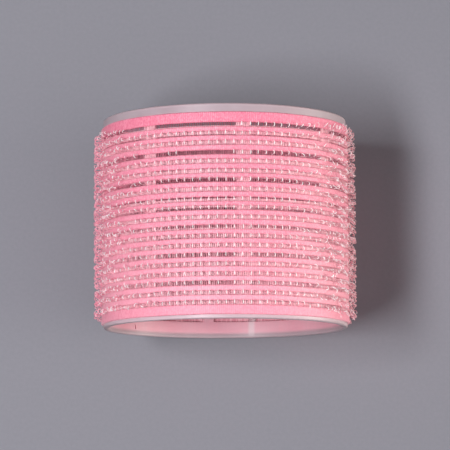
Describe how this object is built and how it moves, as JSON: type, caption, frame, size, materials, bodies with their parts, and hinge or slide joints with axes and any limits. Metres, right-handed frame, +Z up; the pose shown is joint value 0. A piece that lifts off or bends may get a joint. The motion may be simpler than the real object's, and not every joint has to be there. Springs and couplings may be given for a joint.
{
  "type": "hair roller",
  "caption": "Jumbo self-grip hair roller: a slotted frosted plastic barrel wrapped in pink woven tape with rows of clear grip hooks.",
  "frame": {"origin": "middle of the bore, halfway along the barrel", "axes": "+Z up with the roller lying on its side; the bore runs along Y; +X to the right"},
  "size_m": [0.076, 0.06, 0.076],
  "materials": {
    "core": "frosted translucent",
    "ground": "fine weft threads",
    "band": "close woven",
    "selvedge": "ribbed selvedge",
    "hooks": "clear nylon monofilament",
    "weld": "melted seam"
  },
  "bodies": {
    "root": {"core_barrel": "core", "tape_weft_ground": "ground", "tape_selvedge_top": "selvedge", "tape_selvedge_bottom": "selvedge", "tape_band_01": "band", "tape_band_02": "band", "tape_band_03": "band", "tape_band_04": "band", "tape_band_05": "band", "tape_band_06": "band", "tape_band_07": "band", "tape_band_08": "band", "tape_band_09": "band", "tape_band_10": "band", "tape_band_11": "band", "tape_band_12": "band", "tape_band_13": "band", "tape_band_14": "band", "tape_band_15": "band", "tape_band_16": "band", "tape_band_17": "band", "tape_band_18": "band", "tape_band_19": "band", "hook_row_01": "hooks", "hook_row_02": "hooks", "hook_row_03": "hooks", "hook_row_04": "hooks", "hook_row_05": "hooks", "hook_row_06": "hooks", "hook_row_07": "hooks", "hook_row_08": "hooks", "hook_row_09": "hooks", "hook_row_10": "hooks", "hook_row_11": "hooks", "hook_row_12": "hooks", "hook_row_13": "hooks", "hook_row_14": "hooks", "hook_row_15": "hooks", "hook_row_16": "hooks", "hook_row_17": "hooks", "hook_row_18": "hooks", "hook_row_19": "hooks", "hook_row_20": "hooks", "tape_weld_line": "weld"}
  },
  "joints": []
}
